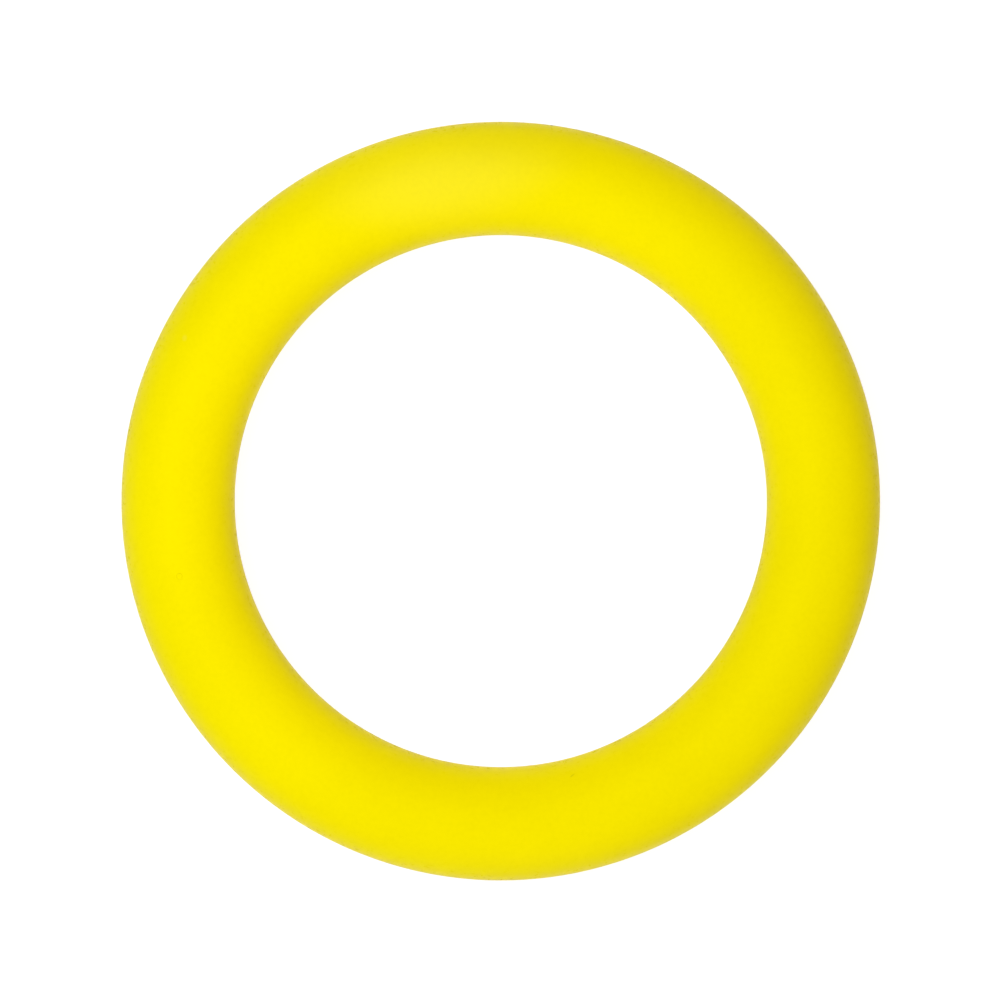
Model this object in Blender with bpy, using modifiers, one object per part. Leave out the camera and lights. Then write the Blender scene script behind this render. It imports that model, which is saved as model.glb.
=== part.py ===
"""Soft juggling ring: a hollow rubber torus filled with air.

It is moulded as two half shells that meet at the ring's middle plane. A rubber strip lies behind each of
the two joints. A needle valve is bonded inside the upper half, and shows only as a small hole.

Metres, +Z up. The ring lies flat. The origin is on the surface that it lies on, on the ring's own axis.
"""

import math

import bpy
from mathutils import Matrix

# Driving dimensions
OUTER_DIAMETER = 0.240
SECTION_DIAMETER = 0.0358
WALL = 0.0016
LAND_WIDTH = 0.0030  # the narrow flat along each crest that the ring lies on, and that rings stack on
BOND_GAP = 0.0003  # between any two pieces that are bonded or touch
RIM_CHAMFER = 0.0002
RIM_ANGLE = math.radians(60)  # only edges that turn by more than this are chamfered

STRIP_WIDTH = 0.010
STRIP_THICKNESS = 0.0010
STRIP_END_GAP = 0.0006  # a strip is cut to length, and its ends nearly meet
OUTER_STRIP_ENDS = math.radians(62.5)  # where round the ring the ends of each strip are
INNER_STRIP_ENDS = math.radians(242.5)

VALVE_AZIMUTH = math.radians(193.2)
VALVE_TILT = math.radians(2.8)  # outwards from the crest, so that the needle hole is square to the wall
NEEDLE_HOLE_DIAMETER = 0.0020
NIB_DIAMETER = 0.0014  # the end of the plug that fills the needle hole
NIB_SUNK = 0.0003  # below the ring's surface
PLUG_DIAMETER = 0.0050
PLUG_LENGTH = 0.0062
PLUG_TOP_GAP = 0.0008  # the wall curves down on both sides of the crest, and the plug's top is flat
HOUSING_WALL = 0.0015
HOUSING_FLOOR = 0.0014
HOUSING_VENT_DIAMETER = 0.0012
FLANGE_DIAMETER = 0.0140
FLANGE_THICKNESS = 0.0015  # at its edge

# Facets
RING_STEPS = 72
SLOPE_STEPS = 8  # along a quarter of the section's outside
CAVITY_STEPS = 12  # along half of the section's inside
STRIP_STEPS = 3
ROUND_STEPS = 20
MERGE_DISTANCE = 0.00001

# Worked out
SECTION_RADIUS = SECTION_DIAMETER / 2
MEAN_RADIUS = OUTER_DIAMETER / 2 - SECTION_RADIUS
CAVITY_RADIUS = SECTION_RADIUS - WALL
LINING_RADIUS = CAVITY_RADIUS - BOND_GAP  # of what is bonded to the inside of the wall
LAND_HALF_ANGLE = math.asin(LAND_WIDTH / 2 / SECTION_RADIUS)
CENTRE_HEIGHT = SECTION_RADIUS * math.cos(LAND_HALF_ANGLE)

PLUG_TOP = CAVITY_RADIUS - PLUG_TOP_GAP
PLUG_BOTTOM = PLUG_TOP - PLUG_LENGTH


def clear_scene():
    for obj in list(bpy.data.objects):
        bpy.data.objects.remove(obj)


def new_collection(name):
    collection = bpy.data.collections.new(name)
    bpy.context.scene.collection.children.link(collection)
    return collection


def new_material(name, colour, roughness):
    material = bpy.data.materials.new(name)
    material.use_nodes = True
    shader = material.node_tree.nodes["Principled BSDF"]
    shader.inputs["Base Color"].default_value = (*colour, 1)
    shader.inputs["Roughness"].default_value = roughness
    shader.inputs["Metallic"].default_value = 0
    return material


def arc(radius, start, end, steps):
    """Points (x, z) on a circle round the section's centre, with angles from +X towards +Z."""
    angles = [start + (end - start) * i / steps for i in range(steps + 1)]
    return [(MEAN_RADIUS + radius * math.cos(a), radius * math.sin(a)) for a in angles]


def half_shell_outline():
    """Over the outside from the inner rim to the outer rim, with the land on top, and back inside."""
    outer_rim = math.asin(BOND_GAP / 2 / SECTION_RADIUS)
    cavity_rim = math.asin(BOND_GAP / 2 / CAVITY_RADIUS)
    crest = math.pi / 2
    inward_slope = arc(SECTION_RADIUS, math.pi - outer_rim, crest + LAND_HALF_ANGLE, SLOPE_STEPS)
    outward_slope = arc(SECTION_RADIUS, crest - LAND_HALF_ANGLE, outer_rim, SLOPE_STEPS)
    cavity = arc(CAVITY_RADIUS, cavity_rim, math.pi - cavity_rim, CAVITY_STEPS)
    return inward_slope + outward_slope + cavity


def strip_outline(middle):
    """A band along the cavity's wall, across the joint that lies at the angle middle."""
    half_angle = STRIP_WIDTH / 2 / LINING_RADIUS
    bonded = arc(LINING_RADIUS, middle + half_angle, middle - half_angle, STRIP_STEPS)
    free = arc(LINING_RADIUS - STRIP_THICKNESS, middle - half_angle, middle + half_angle, STRIP_STEPS)
    return bonded + free


def valve_plug_outline():
    """From the nib's end down to the flat bottom."""
    nib_top = CENTRE_HEIGHT - NIB_SUNK
    nib, barrel = NIB_DIAMETER / 2, PLUG_DIAMETER / 2
    nib_end = [(0, nib_top), (nib, nib_top), (nib, PLUG_TOP)]
    return nib_end + [(barrel, PLUG_TOP), (barrel, PLUG_BOTTOM), (0, PLUG_BOTTOM)]


def valve_housing_outline():
    """A cup round the plug, with a flange. It starts above the wall, which its top is then cut to fit."""
    pocket = PLUG_DIAMETER / 2 + BOND_GAP
    vent = HOUSING_VENT_DIAMETER / 2
    cup = pocket + HOUSING_WALL
    flange = FLANGE_DIAMETER / 2
    above = SECTION_RADIUS
    floor = PLUG_BOTTOM - BOND_GAP
    flange_bottom = math.sqrt(LINING_RADIUS**2 - flange**2) - FLANGE_THICKNESS
    outside = [(flange, above), (flange, flange_bottom), (cup, flange_bottom), (cup, floor - HOUSING_FLOOR)]
    return outside + [(vent, floor - HOUSING_FLOOR), (vent, floor), (pocket, floor), (pocket, above)]


def turned(name, outline, closed, steps, collection, parent):
    """An object that turns its profile, drawn in the XZ plane, through a full circle about its Z axis."""
    count = len(outline)
    edges = [(i, i + 1) for i in range(count - 1)]
    if closed:
        edges.append((count - 1, 0))
    mesh = bpy.data.meshes.new(name)
    mesh.from_pydata([(x, 0, z) for x, z in outline], edges, [])
    obj = bpy.data.objects.new(name, mesh)
    collection.objects.link(obj)
    obj.parent = parent
    screw = obj.modifiers.new("turn", "SCREW")
    screw.steps = steps
    screw.render_steps = steps
    screw.use_merge_vertices = True
    screw.merge_threshold = MERGE_DISTANCE
    screw.use_smooth_shade = True
    return obj


def paint(obj, material):
    obj.data.materials.append(material)


def cut(obj, cutter, operation="DIFFERENCE"):
    boolean = obj.modifiers.new(cutter.name, "BOOLEAN")
    boolean.operation = operation
    boolean.solver = "EXACT"
    boolean.object = cutter


def make_cutter(obj, name, cutters, parent):
    for collection in list(obj.users_collection):
        collection.objects.unlink(obj)
    cutters.objects.link(obj)
    obj.name = name
    obj.parent = parent
    obj.hide_render = True
    obj.display_type = "WIRE"
    return obj


def put_at_valve(obj):
    """Places an object made about its own Z axis, with the section's centre as its origin."""
    obj.location = (MEAN_RADIUS * math.cos(VALVE_AZIMUTH), MEAN_RADIUS * math.sin(VALVE_AZIMUTH), 0)
    obj.rotation_euler = (0, VALVE_TILT, VALVE_AZIMUTH)


def needle_hole_cutter(cutters, parent):
    bpy.ops.mesh.primitive_cylinder_add(vertices=ROUND_STEPS, radius=NEEDLE_HOLE_DIAMETER / 2, depth=4 * WALL)
    cutter = make_cutter(bpy.context.object, "needle_hole", cutters, parent)
    cutter.data.transform(Matrix.Translation((0, 0, SECTION_RADIUS)))
    put_at_valve(cutter)
    return cutter


def strip_ends_cutter(name, middle, azimuth, cutters, parent):
    """A thin block across a strip, which leaves the gap between the strip's two ends."""
    bpy.ops.mesh.primitive_cube_add(size=1)
    cutter = make_cutter(bpy.context.object, name, cutters, parent)
    cutter.data.transform(Matrix.Diagonal((4 * STRIP_THICKNESS, STRIP_END_GAP, 2 * STRIP_WIDTH, 1)))
    radius = MEAN_RADIUS + math.cos(middle) * (LINING_RADIUS - STRIP_THICKNESS)
    cutter.location = (radius * math.cos(azimuth), radius * math.sin(azimuth), 0)
    cutter.rotation_euler.z = azimuth
    return cutter


def make_half_shells(material, ring, cutters, centre):
    """Both halves come from one mould. The lower one is turned over, and the upper one is drilled."""
    for name, turned_over in (("upper_half_shell", 0), ("lower_half_shell", math.pi)):
        half = turned(name, half_shell_outline(), True, RING_STEPS, ring, centre)
        half.rotation_euler.x = turned_over
        paint(half, material)
        bevel = half.modifiers.new("rims", "BEVEL")
        bevel.width = RIM_CHAMFER
        bevel.segments = 1
        bevel.limit_method = "ANGLE"
        bevel.angle_limit = RIM_ANGLE
    cut(ring.objects["upper_half_shell"], needle_hole_cutter(cutters, centre))


def make_seam_strips(material, ring, cutters, centre):
    for side, middle, ends in (("outer", 0, OUTER_STRIP_ENDS), ("inner", math.pi, INNER_STRIP_ENDS)):
        name = side + "_seam_strip"
        strip = turned(name, strip_outline(middle), True, RING_STEPS, ring, centre)
        paint(strip, material)
        cut(strip, strip_ends_cutter(side + "_strip_ends", middle, ends, cutters, centre))


def make_valve(housing_material, plug_material, ring, cutters, centre):
    """The housing's flange follows the cavity's wall, so it is what a torus inside the wall leaves of it."""
    housing = turned("valve_housing", valve_housing_outline(), True, ROUND_STEPS, ring, centre)
    put_at_valve(housing)
    paint(housing, housing_material)
    lining = turned("lining", arc(LINING_RADIUS, 0, -2 * math.pi, 2 * CAVITY_STEPS)[:-1], True,
                    RING_STEPS, ring, centre)
    cut(housing, make_cutter(lining, "lining", cutters, centre), "INTERSECT")

    plug = turned("valve_plug", valve_plug_outline(), False, ROUND_STEPS, ring, centre)
    put_at_valve(plug)
    paint(plug, plug_material)


def main():
    clear_scene()
    ring = new_collection("juggling_ring")
    cutters = new_collection("cutters")
    centre = bpy.data.objects.new("section_centre", None)
    ring.objects.link(centre)
    centre.location.z = CENTRE_HEIGHT

    yellow = new_material("yellow_rubber", (0.93, 0.75, 0.006), 0.55)
    strip = new_material("seam_strip_rubber", (0.62, 0.50, 0.10), 0.75)
    housing = new_material("valve_housing_rubber", (0.05, 0.05, 0.05), 0.7)
    plug = new_material("valve_plug_rubber", (0.90, 0.76, 0.05), 0.6)

    make_half_shells(yellow, ring, cutters, centre)
    make_seam_strips(strip, ring, cutters, centre)
    make_valve(housing, plug, ring, cutters, centre)


main()
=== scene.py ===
"""The looks of the soft juggling ring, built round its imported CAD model.

Metres, +Z up. The ring lies on the floor, and the camera looks straight down on it. In this file a place on
the ring is given by two angles: the azimuth round the ring, from +X towards +Y, and the angle round the
section, which is 0 at the outer rim, 90 degrees on the upper crest and 180 degrees at the inner rim.
"""

import math

import bmesh
import bpy
from mathutils import Matrix, Vector


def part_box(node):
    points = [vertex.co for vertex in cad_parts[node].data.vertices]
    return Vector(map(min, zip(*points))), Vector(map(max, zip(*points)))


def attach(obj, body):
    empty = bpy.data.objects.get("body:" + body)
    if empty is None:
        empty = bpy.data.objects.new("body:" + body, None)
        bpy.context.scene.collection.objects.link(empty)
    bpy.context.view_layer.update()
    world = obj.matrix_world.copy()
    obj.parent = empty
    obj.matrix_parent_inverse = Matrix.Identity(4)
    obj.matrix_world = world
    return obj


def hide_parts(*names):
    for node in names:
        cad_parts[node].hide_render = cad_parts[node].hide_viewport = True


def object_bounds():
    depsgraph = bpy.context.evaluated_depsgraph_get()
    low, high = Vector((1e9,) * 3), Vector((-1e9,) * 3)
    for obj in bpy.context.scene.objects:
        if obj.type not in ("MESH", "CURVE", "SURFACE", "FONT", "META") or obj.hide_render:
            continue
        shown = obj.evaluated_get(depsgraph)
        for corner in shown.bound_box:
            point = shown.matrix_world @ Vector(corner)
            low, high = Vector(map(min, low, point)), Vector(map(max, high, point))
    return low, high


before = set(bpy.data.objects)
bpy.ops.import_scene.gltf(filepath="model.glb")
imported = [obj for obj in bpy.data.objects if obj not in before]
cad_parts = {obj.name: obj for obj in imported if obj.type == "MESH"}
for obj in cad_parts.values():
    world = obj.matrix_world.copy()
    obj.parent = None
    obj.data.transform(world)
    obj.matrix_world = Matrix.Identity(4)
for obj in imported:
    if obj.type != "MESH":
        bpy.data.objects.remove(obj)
cad_low, cad_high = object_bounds()

# Sizes that the CAD boxes don't give, as the CAD model has them
WALL = 0.0016
LAND_WIDTH = 0.0030
BOND_GAP = 0.0003
STRIP_WIDTH = 0.010
STRIP_THICKNESS = 0.0010
STRIP_END_GAP = 0.0006
OUTER_STRIP_ENDS = math.radians(62.5)
INNER_STRIP_ENDS = math.radians(242.5)
VALVE_TILT = math.radians(2.8)
PLUG_RADIUS = 0.0025
PLUG_LENGTH = 0.0062
PLUG_TOP_GAP = 0.0008
HOUSING_WALL = 0.0015
HOUSING_FLOOR = 0.0014
HOUSING_VENT_RADIUS = 0.0006
FLANGE_RADIUS = 0.0070
FLANGE_THICKNESS = 0.0015

# The ring, from the frame
OUTER_RADIUS = (cad_high.x - cad_low.x) / 2
CENTRE_HEIGHT = (cad_high.z - cad_low.z) / 2
SECTION_RADIUS = math.hypot(CENTRE_HEIGHT, LAND_WIDTH / 2)
MEAN_RADIUS = OUTER_RADIUS - SECTION_RADIUS
FLATTENING = CENTRE_HEIGHT / SECTION_RADIUS
CAVITY_RADIUS = SECTION_RADIUS - WALL
LINING_RADIUS = CAVITY_RADIUS - BOND_GAP
plug_low, plug_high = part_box("valve_plug")
VALVE_AZIMUTH = math.atan2(plug_low.y + plug_high.y, plug_low.x + plug_high.x)

# Fine shapes that the CAD model leaves out
JOINT_GAP = 0.00002  # the cement is squeezed out of the joint until the halves almost meet
RIM_FILLET = 0.0002
NEEDLE_HOLE_RADIUS = 0.00096  # the stretched hole grips the nib, so only a hair-line shows round it
NEEDLE_HOLE_LIP = 0.00008
LIP_OVERSHOOT = 0.1  # the share of the lip that the cutter stands above the skin, so that it cuts through
NIB_RADIUS = 0.00092
NIB_FILLET = 0.00008
NIB_SUNK = 0.00002
SMALL_FILLET = 0.00015

# Fineness of the meshes
FULL_TURN = 2 * math.pi
RING_STEPS = 480
STRIP_RING_STEPS = 240
HALF_SECTION_STEPS = 72
CAVITY_STEPS = 32
STRIP_STEPS = 8
FILLET_STEPS = 4
FLANGE_STEPS = 8
ROUND_STEPS = 64
SHARP_ANGLE = math.radians(30)
MERGE_DISTANCE = 1e-8  # only joins points that fall together on the axis


# Meshes

def arc(radius, start, end, steps):
    """Points (x, z) round the section's centre. The ring's own weight flattens the section by a hair."""
    angles = [start + (end - start) * i / steps for i in range(steps + 1)]
    return [(MEAN_RADIUS + radius * math.cos(a), FLATTENING * radius * math.sin(a)) for a in angles]


def rounded(outline, fillet, closed=True):
    """The outline with a fillet at each sharp corner."""
    corners = [Vector(point) for point in outline]
    made = []
    for i, corner in enumerate(corners):
        back = corners[i - 1] - corner
        ahead = corners[(i + 1) % len(corners)] - corner
        at_end = not closed and i in (0, len(corners) - 1)
        if at_end or back.angle(ahead) > math.pi - SHARP_ANGLE:
            made.append(tuple(corner))
            continue
        back.normalize()
        ahead.normalize()
        half = back.angle(ahead) / 2
        centre = corner + (back + ahead).normalized() * fillet / math.sin(half)
        first = corner + back * fillet / math.tan(half) - centre
        last = corner + ahead * fillet / math.tan(half) - centre
        turns = [first.slerp(last, j / FILLET_STEPS) for j in range(FILLET_STEPS + 1)]
        made += [tuple(centre + turn * fillet) for turn in turns]
    return made


def turned(name, outline, steps, start=0, sweep=FULL_TURN, closed=True):
    """A solid that the outline (x, z) makes as it turns about Z.

    It has flat ends if it turns only part of the way. An outline that isn't closed begins and ends on the
    axis.
    """
    build = bmesh.new()
    whole_turn = sweep == FULL_TURN
    rings = []
    for i in range(steps if whole_turn else steps + 1):
        angle = start + sweep * i / steps
        rings.append([build.verts.new((x * math.cos(angle), x * math.sin(angle), z)) for x, z in outline])
    for i in range(steps):
        near, far = rings[i], rings[(i + 1) % len(rings)]
        for j in range(len(outline) if closed else len(outline) - 1):
            k = (j + 1) % len(outline)
            build.faces.new((near[j], far[j], far[k], near[k]))
    if not whole_turn:
        build.faces.new(rings[0])
        build.faces.new(rings[-1])
    bmesh.ops.remove_doubles(build, verts=build.verts, dist=MERGE_DISTANCE)
    bmesh.ops.recalc_face_normals(build, faces=build.faces)
    mesh = bpy.data.meshes.new(name)
    build.to_mesh(mesh)
    build.free()
    piece = bpy.data.objects.new(name, mesh)
    bpy.context.scene.collection.objects.link(piece)
    return piece


def lift(piece):
    piece.data.transform(Matrix.Translation((0, 0, CENTRE_HEIGHT)))


def cut(piece, cutter):
    """Takes the cutter's shape out of the mesh, and removes the cutter."""
    boolean = piece.modifiers.new("cut", "BOOLEAN")
    boolean.operation = "DIFFERENCE"
    boolean.solver = "EXACT"
    boolean.object = cutter
    evaluated = piece.evaluated_get(bpy.context.evaluated_depsgraph_get())
    mesh = bpy.data.meshes.new_from_object(evaluated)
    piece.modifiers.clear()
    piece.data = mesh
    bpy.data.objects.remove(cutter)


def shade(piece):
    piece.data.shade_smooth()
    piece.data.set_sharp_from_angle(angle=SHARP_ANGLE)


def stands_for(piece, cad_node, material):
    """Finishes a piece: it takes the place of a CAD node, with the given material."""
    piece.data.materials.clear()
    piece.data.materials.append(material)
    shade(piece)
    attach(piece, "root")
    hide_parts(cad_node)


# The ring's pieces

def half_shell_outline():
    """The upper half: over the outside to the inner rim, and back along the cavity."""
    skin_rim = math.asin(JOINT_GAP / 2 / SECTION_RADIUS)
    cavity_rim = math.asin(JOINT_GAP / 2 / CAVITY_RADIUS)
    skin = arc(SECTION_RADIUS, skin_rim, math.pi - skin_rim, HALF_SECTION_STEPS)
    cavity = arc(CAVITY_RADIUS, math.pi - cavity_rim, cavity_rim, CAVITY_STEPS)
    return rounded(skin + cavity, RIM_FILLET)


def strip_outline(middle):
    """A band along the cavity's wall, across the joint that lies at the angle middle."""
    reach = STRIP_WIDTH / 2 / LINING_RADIUS
    bonded = arc(LINING_RADIUS, middle + reach, middle - reach, STRIP_STEPS)
    free = arc(LINING_RADIUS - STRIP_THICKNESS, middle - reach, middle + reach, STRIP_STEPS)
    return rounded(bonded + free, SMALL_FILLET)


def plug_outline():
    """From the nib's end, which shows in the needle hole, down to the flat bottom."""
    nib_top = SECTION_RADIUS * FLATTENING - NIB_SUNK
    plug_top = CAVITY_RADIUS - PLUG_TOP_GAP
    nib = rounded([(0, nib_top), (NIB_RADIUS, nib_top), (NIB_RADIUS, plug_top)], NIB_FILLET, closed=False)
    barrel = [(NIB_RADIUS, plug_top), (PLUG_RADIUS, plug_top), (PLUG_RADIUS, plug_top - PLUG_LENGTH),
              (0, plug_top - PLUG_LENGTH)]
    return nib[:-1] + [barrel[0]] + rounded(barrel, SMALL_FILLET, closed=False)[1:]


def housing_outline():
    """A cup with a flange. Its top starts above the wall, and is then brought down to it."""
    above = SECTION_RADIUS
    pocket = PLUG_RADIUS + BOND_GAP
    cup = pocket + HOUSING_WALL
    floor = CAVITY_RADIUS - PLUG_TOP_GAP - PLUG_LENGTH - BOND_GAP
    flange_bottom = math.sqrt(LINING_RADIUS**2 - FLANGE_RADIUS**2) - FLANGE_THICKNESS
    outside = [(FLANGE_RADIUS, above), (FLANGE_RADIUS, flange_bottom), (cup, flange_bottom),
               (cup, floor - HOUSING_FLOOR)]
    inside = [(HOUSING_VENT_RADIUS, floor - HOUSING_FLOOR), (HOUSING_VENT_RADIUS, floor), (pocket, floor),
              (pocket, above)]
    top = [(pocket + (FLANGE_RADIUS - pocket) * i / FLANGE_STEPS, above) for i in range(1, FLANGE_STEPS)]
    return rounded(outside + inside, SMALL_FILLET, closed=False) + top


def needle_hole_outline():
    """The cutter of the needle hole, with a round lip where it leaves the skin."""
    skin = SECTION_RADIUS * FLATTENING
    bottom, top = skin - 2 * WALL, skin + WALL
    lip_angles = [math.pi - math.pi / 2 * i / FILLET_STEPS for i in range(FILLET_STEPS + 1)]
    lip_centre = NEEDLE_HOLE_RADIUS + NEEDLE_HOLE_LIP
    sunk = 1 - LIP_OVERSHOOT
    lip = [(lip_centre + NEEDLE_HOLE_LIP * math.cos(a), skin - NEEDLE_HOLE_LIP * (sunk - math.sin(a)))
           for a in lip_angles]
    return [(0, bottom), (NEEDLE_HOLE_RADIUS, bottom)] + lip + [(lip_centre, top), (0, top)]


def fit_to_wall(piece):
    """Brings whatever is above the cavity's lining down to it."""
    for vertex in piece.data.vertices:
        across = math.hypot(vertex.co.x, vertex.co.y) - MEAN_RADIUS
        vertex.co.z = min(vertex.co.z, FLATTENING * math.sqrt(LINING_RADIUS**2 - across**2))


def at_valve(piece):
    """Moves a piece made about the Z axis to the valve, square to the skin."""
    tilt = Matrix.Rotation(VALVE_TILT, 4, "Y")
    out = Matrix.Translation((MEAN_RADIUS, 0, 0))
    piece.data.transform(Matrix.Rotation(VALVE_AZIMUTH, 4, "Z") @ out @ tilt)
    return piece


def make_half_shells(material):
    upper = turned("upper_shell", half_shell_outline(), RING_STEPS)
    lower = upper.copy()
    lower.data = upper.data.copy()
    lower.name = "lower_shell"
    bpy.context.scene.collection.objects.link(lower)
    lower.data.transform(Matrix.Rotation(math.pi, 4, "X"))
    hole = at_valve(turned("needle_hole", needle_hole_outline(), ROUND_STEPS, closed=False))
    cut(upper, hole)
    for piece, node_name in ((upper, "upper_half_shell"), (lower, "lower_half_shell")):
        lift(piece)
        stands_for(piece, node_name, material)


def make_seam_strips(material):
    for side, middle, ends in (("outer", 0, OUTER_STRIP_ENDS), ("inner", math.pi, INNER_STRIP_ENDS)):
        radius = MEAN_RADIUS + LINING_RADIUS * math.cos(middle)
        gap = STRIP_END_GAP / radius
        start, sweep = ends + gap / 2, FULL_TURN - gap
        strip = turned(side + "_strip", strip_outline(middle), STRIP_RING_STEPS, start, sweep)
        lift(strip)
        stands_for(strip, side + "_seam_strip", material)


def make_valve(housing_material, plug_material):
    housing = at_valve(turned("valve_cup", housing_outline(), ROUND_STEPS))
    fit_to_wall(housing)
    plug = at_valve(turned("needle_plug", plug_outline(), ROUND_STEPS, closed=False))
    lift(housing)
    lift(plug)
    stands_for(housing, "valve_housing", housing_material)
    stands_for(plug, "valve_plug", plug_material)


# Materials

YELLOW = (0.872, 0.749, 0.0)
STRIP_YELLOW = (0.62, 0.50, 0.10)
VALVE_BLACK = (0.05, 0.05, 0.05)
PALE = (0.95, 0.93, 0.80, 1)
DARK = (0.10, 0.09, 0.02, 1)

NOISE_LOW = 0.3
NOISE_HIGH = 0.7
CLOUD_SCALE = 22  # patches in a metre, as for the next two
MOTTLE_SCALE = 650
GRAIN_SCALE = 5200

SATIN_GLOSS = 0.04
SATIN_TINT = (1, 0.85, 0.0, 1)
SKIN_ROUGHNESS = (0.27, 0.33)
SKIN_CLOUDS = 0.012
SKIN_MOTTLE = 0.008
SKIN_GRAIN = 0.000006
PLAIN_ROUGHNESS_SPREAD = 0.05
PLAIN_CLOUDS = 0.05
PLAIN_MOTTLE = 0.04

BUFFED_REACH = 0.0015  # how far from the joint the skin was buffed when the halves were trimmed
BUFFED_STRENGTH = 0.06
STREAK_SCALE = (60, 60, 6000)  # buffing leaves lines that run along the joint
STREAK_LOW = 0.2
WORN_REACH = 0.006  # how far from the joint the outer side is scuffed by floors and other rings
SCUFF_STRENGTH = 0.035
SCRATCH_SCALE = (260, 260, 1400)
SCRATCH_DETAIL = 4
SCRATCH_RANGE = (0.54, 0.70)  # only the noise's peaks become scratches
DULLING = 0.15  # how much rougher the buffed and scuffed rubber is


def node(tree, kind, inputs, **settings):
    """A new shader node. An input is a value, or the socket that feeds it."""
    made = tree.nodes.new(kind)
    for name, value in settings.items():
        setattr(made, name, value)
    for name, value in inputs.items():
        if isinstance(value, bpy.types.NodeSocket):
            tree.links.new(value, made.inputs[name])
        else:
            made.inputs[name].default_value = value
    return made


def new_material(name):
    material = bpy.data.materials.new(name)
    material.use_nodes = True
    tree = material.node_tree
    place = node(tree, "ShaderNodeTexCoord", {}).outputs["Object"]
    return material, tree, place


def noise(tree, place, scale, detail=2):
    """A value, nearly always from NOISE_LOW to NOISE_HIGH, in patches about 1 / scale metres across."""
    made = node(tree, "ShaderNodeTexNoise", {"Vector": place, "Scale": scale, "Detail": detail})
    return made.outputs["Fac"]


def stretched(tree, place, scale):
    return node(tree, "ShaderNodeMapping", {"Vector": place, "Scale": scale}).outputs["Vector"]


def spread(tree, value, low, high, start=NOISE_LOW, end=NOISE_HIGH):
    """Maps the values from start to end onto low to high."""
    inputs = {"Value": value, "From Min": start, "From Max": end, "To Min": low, "To Max": high}
    return node(tree, "ShaderNodeMapRange", inputs, interpolation_type="SMOOTHSTEP").outputs["Result"]


def times(tree, first, second):
    return node(tree, "ShaderNodeMath", {0: first, 1: second}, operation="MULTIPLY").outputs["Value"]


def mixed(tree, amount, first, second):
    inputs = {"Fac": amount, "Color1": first, "Color2": second}
    return node(tree, "ShaderNodeMixRGB", inputs).outputs["Color"]


def tone(colour, factor):
    return tuple(channel * factor for channel in colour) + (1,)


def mottled(tree, place, colour, clouds, mottle):
    """The colour with soft clouds and a fine mottle, each given as how far it strays."""
    cloud_amount = spread(tree, noise(tree, place, CLOUD_SCALE), 0, 1)
    cloudy = mixed(tree, cloud_amount, tone(colour, 1 - clouds), tone(colour, 1 + clouds))
    amount = spread(tree, noise(tree, place, MOTTLE_SCALE), 1 - mottle, 1 + mottle)
    grey = node(tree, "ShaderNodeCombineColor", {"Red": amount, "Green": amount, "Blue": amount})
    inputs = {"Fac": 1, "Color1": cloudy, "Color2": grey.outputs["Color"]}
    return node(tree, "ShaderNodeMixRGB", inputs, blend_type="MULTIPLY").outputs["Color"]


def grained(tree, place, depth):
    """A normal with a fine grain, depth in metres."""
    grain = noise(tree, place, GRAIN_SCALE)
    return node(tree, "ShaderNodeBump", {"Height": grain, "Distance": depth, "Strength": 1}).outputs["Normal"]


def on_skin(azimuth, around):
    """The point of the skin at these two angles, in degrees."""
    turn, lean = math.radians(azimuth), math.radians(around)
    across = MEAN_RADIUS + SECTION_RADIUS * math.cos(lean)
    return across * math.cos(turn), across * math.sin(turn), CENTRE_HEIGHT * (1 + math.sin(lean))


def blot(tree, place, centre, half_sizes, turn, core):
    """1 in the middle of an ellipsoid, out to core of its size, falling to 0 at its surface."""
    rotation = (0, 0, math.radians(turn))
    inputs = {"Vector": place, "Location": centre, "Rotation": rotation, "Scale": half_sizes}
    local = node(tree, "ShaderNodeMapping", inputs, vector_type="TEXTURE").outputs["Vector"]
    distance = node(tree, "ShaderNodeVectorMath", {0: local}, operation="LENGTH").outputs["Value"]
    return spread(tree, distance, 1, 0, core, 1)


def near_joint(tree, place, reach):
    """1 on the joint between the halves, falling to 0 at reach above and below it."""
    height = node(tree, "ShaderNodeSeparateXYZ", {"Vector": place}).outputs["Z"]
    above = node(tree, "ShaderNodeMath", {0: height, 1: CENTRE_HEIGHT}, operation="SUBTRACT").outputs["Value"]
    distance = node(tree, "ShaderNodeMath", {0: above}, operation="ABSOLUTE").outputs["Value"]
    return spread(tree, distance, 1, 0, reach / 2, reach)


def on_outer_side(tree, place):
    """0 on the crests and inside the ring, rising to 1 at the outer rim."""
    flat = stretched(tree, place, (1, 1, 0))
    distance = node(tree, "ShaderNodeVectorMath", {0: flat}, operation="LENGTH").outputs["Value"]
    return spread(tree, distance, 0, 1, MEAN_RADIUS, OUTER_RADIUS)


# Centre, half sizes in metres, turn about Z in degrees, core, colour and strength
MARKS = {
    "nick": (on_skin(284.6, 137.5), (0.0012, 0.00026, 0.0020), 36, 0.3, DARK, 0.17),
    "speck": (on_skin(82.3, 13), (0.0005, 0.0007, 0.0010), 0, 0.6, DARK, 0.75),
    "pale_spot": (on_skin(152.7, 59.2), (0.0012, 0.0015, 0.0020), 0, 0.2, PALE, 0.025),
    # The last mark is a painted highlight: a faint, broad pale patch over the upper crest, standing in for a
    # soft reflection of the lights above
    "painted_highlight": (on_skin(100, 92), (0.050, 0.018, 0.030), 10, 0.1, PALE, 0.017),
}


def make_satin(shader):
    """The low, yellow gloss of the moulded rubber, which turns white only where it is seen edge on."""
    shader.inputs["Specular IOR Level"].default_value = SATIN_GLOSS
    shader.inputs["Specular Tint"].default_value = SATIN_TINT


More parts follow.
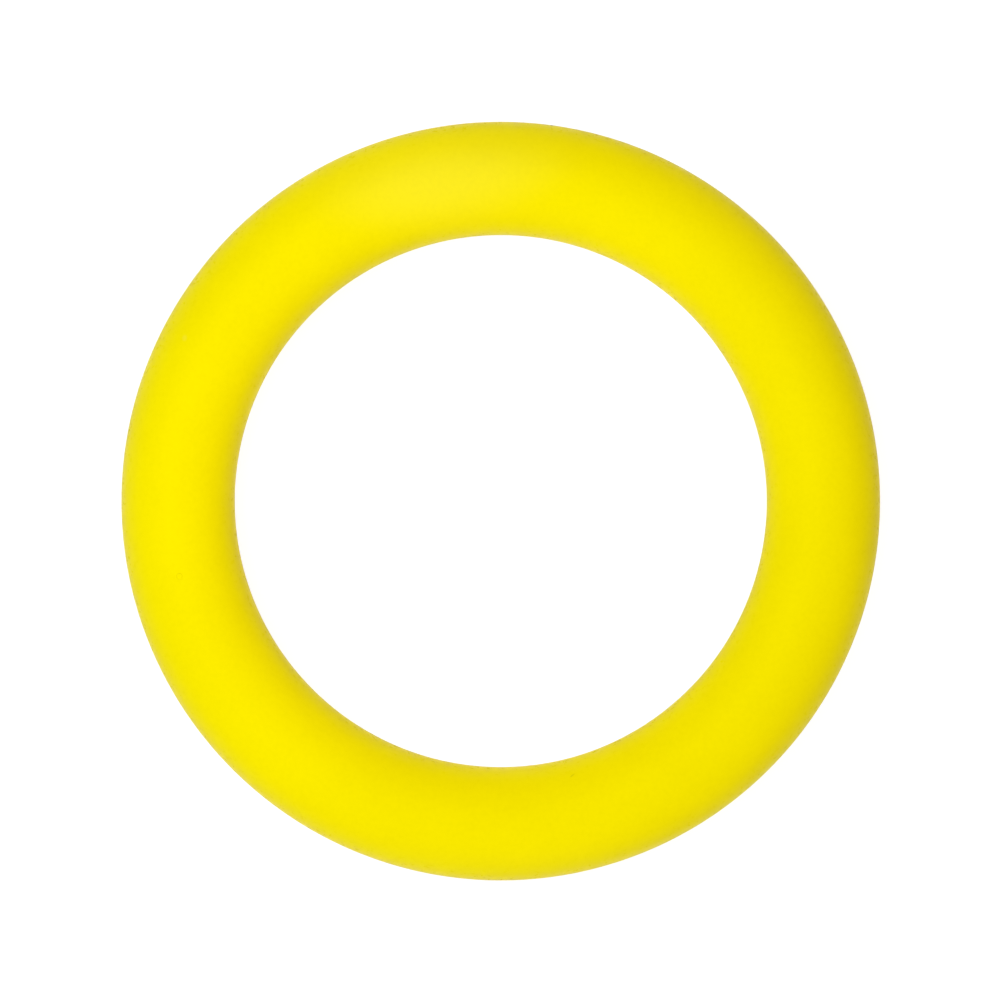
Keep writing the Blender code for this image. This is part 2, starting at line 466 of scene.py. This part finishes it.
def make_yellow_rubber():
    material, tree, place = new_material("moulded_rubber")
    shader = tree.nodes["Principled BSDF"]
    mottle = noise(tree, place, MOTTLE_SCALE)
    colour = mottled(tree, place, YELLOW, SKIN_CLOUDS, SKIN_MOTTLE)
    # The marks are painted into the colour: a dark nick, a dark speck, a pale spot, and a painted highlight
    # over the upper crest
    for centre, half_sizes, turn, core, mark_colour, strength in MARKS.values():
        amount = times(tree, blot(tree, place, centre, half_sizes, turn, core), strength)
        colour = mixed(tree, amount, colour, mark_colour)

    streaks = spread(tree, noise(tree, stretched(tree, place, STREAK_SCALE), 1), STREAK_LOW, 1)
    buffed = times(tree, near_joint(tree, place, BUFFED_REACH), streaks)
    colour = mixed(tree, times(tree, buffed, BUFFED_STRENGTH), colour, PALE)
    rubbed = noise(tree, stretched(tree, place, SCRATCH_SCALE), 1, SCRATCH_DETAIL)
    scratches = spread(tree, rubbed, 0, 1, *SCRATCH_RANGE)
    worn = times(tree, near_joint(tree, place, WORN_REACH), on_outer_side(tree, place))
    scuffs = times(tree, scratches, worn)
    colour = mixed(tree, times(tree, scuffs, SCUFF_STRENGTH), colour, PALE)
    tree.links.new(colour, shader.inputs["Base Color"])

    dulling = node(tree, "ShaderNodeMath", {0: buffed, 1: scuffs}, operation="MAXIMUM").outputs["Value"]
    roughness = spread(tree, mottle, *SKIN_ROUGHNESS)
    dulled = node(tree, "ShaderNodeMath", {0: dulling, 1: DULLING, 2: roughness}, operation="MULTIPLY_ADD")
    tree.links.new(dulled.outputs["Value"], shader.inputs["Roughness"])
    tree.links.new(grained(tree, place, SKIN_GRAIN), shader.inputs["Normal"])
    make_satin(shader)
    return material


def make_plain_rubber(name, colour, roughness, grain_depth, satin=False):
    material, tree, place = new_material(name)
    shader = tree.nodes["Principled BSDF"]
    patchy = mottled(tree, place, colour, PLAIN_CLOUDS, PLAIN_MOTTLE)
    tree.links.new(patchy, shader.inputs["Base Color"])
    smoothest, roughest = roughness - PLAIN_ROUGHNESS_SPREAD, roughness + PLAIN_ROUGHNESS_SPREAD
    rough = spread(tree, noise(tree, place, MOTTLE_SCALE), smoothest, roughest)
    tree.links.new(rough, shader.inputs["Roughness"])
    tree.links.new(grained(tree, place, grain_depth), shader.inputs["Normal"])
    if satin:
        make_satin(shader)
    return material


def make_floor_material():
    material, tree, place = new_material("pale_floor")
    shader = tree.nodes["Principled BSDF"]
    seen = node(tree, "ShaderNodeLightPath", {}).outputs["Is Camera Ray"]
    lighting = mottled(tree, place, FLOOR_COLOUR, FLOOR_CLOUDS, FLOOR_MOTTLE)
    tree.links.new(mixed(tree, seen, lighting, SEEN_FLOOR_COLOUR), shader.inputs["Base Color"])
    shader.inputs["Roughness"].default_value = FLOOR_ROUGHNESS
    shader.inputs["Specular IOR Level"].default_value = 0
    distance = node(tree, "ShaderNodeVectorMath", {0: place}, operation="LENGTH").outputs["Value"]
    glow = spread(tree, distance, NEAR_GLOW, FAR_GLOW, NEAR_RADIUS, FAR_RADIUS)
    tree.links.new(times(tree, glow, seen), shader.inputs["Emission Strength"])
    shader.inputs["Emission Color"].default_value = (1, 1, 1, 1)
    return material


# Studio

CAMERA_HEIGHT = 1.27  # above the section's centre
CAMERA_OFFSET = (-0.00024, 0.00035)  # along X and Y from the ring's axis
LENS = 144.48  # millimetres
CLIP_END = 100
FLOOR_RADIUS = 7
FLOOR_SEGMENTS = 128
FLOOR_ROUGHNESS = 0.9
# The floor that lights the ring
FLOOR_COLOUR = (0.90, 0.90, 0.90)
FLOOR_CLOUDS = 0.004
FLOOR_MOTTLE = 0.003
# What the camera sees of the floor is mostly a glow, which is white with a faint shadow and lights nothing
SEEN_FLOOR_COLOUR = (0.20, 0.20, 0.20, 1)
NEAR_GLOW = 0.92
FAR_GLOW = 1.0
NEAR_RADIUS = 0.3  # the glow changes from NEAR_GLOW to FAR_GLOW between these distances from the ring's axis
FAR_RADIUS = 1.8
HORIZON_COLOUR = (0.82, 0.80, 0.79, 1)
ZENITH_COLOUR = (0.004, 0.004, 0.004, 1)
WHITE = (1, 1, 1)
WARM = (1, 0.825, 0.75)
HORIZON_BAND = 0.35  # the sine of the elevation at which the pale horizon has faded

# Azimuth and elevation in degrees, distance and width in metres, how bright it makes a white surface that
# faces it, and tint
SOFTBOXES = {
    "key": (180, 68, 1.0, 0.6, 0.367, WHITE),
    "key_top": (135, 68, 1.0, 0.6, 0.490, WHITE),
    "bottom": (270, 58, 2.0, 1.2, 0.119, WHITE),
    "fill_bottom": (270, 25, 2.0, 1.2, 0.257, WHITE),
    "fill_right": (315, 25, 2.0, 1.2, 0.130, WARM),
    "fill_top": (45, 25, 2.0, 1.2, 0.215, WARM),
}


def make_floor():
    build = bmesh.new()
    bmesh.ops.create_circle(build, cap_ends=True, segments=FLOOR_SEGMENTS, radius=FLOOR_RADIUS)
    mesh = bpy.data.meshes.new("floor")
    build.to_mesh(mesh)
    build.free()
    floor = bpy.data.objects.new("floor", mesh)
    bpy.context.scene.collection.objects.link(floor)
    mesh.materials.append(make_floor_material())


def make_softbox(name, azimuth, elevation, distance, width, brightness, tint):
    """A square light that faces the ring."""
    data = bpy.data.lights.new(name, "AREA")
    data.size = width
    data.energy = brightness * (math.pi * distance) ** 2
    data.color = tint
    light = bpy.data.objects.new(name, data)
    bpy.context.scene.collection.objects.link(light)
    across, up = math.cos(math.radians(elevation)), math.sin(math.radians(elevation))
    turn = math.radians(azimuth)
    towards = Vector((across * math.cos(turn), across * math.sin(turn), up))
    light.location = towards * distance
    light.rotation_euler = towards.to_track_quat("Z", "Y").to_euler()
    light.visible_camera = False


def make_world():
    world = bpy.data.worlds.new("studio")
    world.use_nodes = True
    tree = world.node_tree
    direction = node(tree, "ShaderNodeTexCoord", {}).outputs["Generated"]
    rise = node(tree, "ShaderNodeSeparateXYZ", {"Vector": direction}).outputs["Z"]
    upper = spread(tree, rise, 0, 1, 0, HORIZON_BAND)
    colour = mixed(tree, upper, HORIZON_COLOUR, ZENITH_COLOUR)
    tree.links.new(colour, tree.nodes["Background"].inputs["Color"])
    bpy.context.scene.world = world


def make_camera():
    data = bpy.data.cameras.new("camera")
    data.lens = LENS
    data.clip_end = CLIP_END
    camera = bpy.data.objects.new("camera", data)
    bpy.context.scene.collection.objects.link(camera)
    camera.location = (*CAMERA_OFFSET, CENTRE_HEIGHT + CAMERA_HEIGHT)
    bpy.context.scene.camera = camera


make_half_shells(make_yellow_rubber())
make_seam_strips(make_plain_rubber("seam_strip", STRIP_YELLOW, roughness=0.75, grain_depth=0.00002))
make_valve(
    make_plain_rubber("valve_housing", VALVE_BLACK, roughness=0.7, grain_depth=0.00001),
    make_plain_rubber("valve_plug", YELLOW, roughness=0.30, grain_depth=SKIN_GRAIN, satin=True),
)
make_floor()
make_world()
make_camera()
for softbox, values in SOFTBOXES.items():
    make_softbox(softbox, *values)
bpy.context.scene.view_settings.view_transform = "Standard"
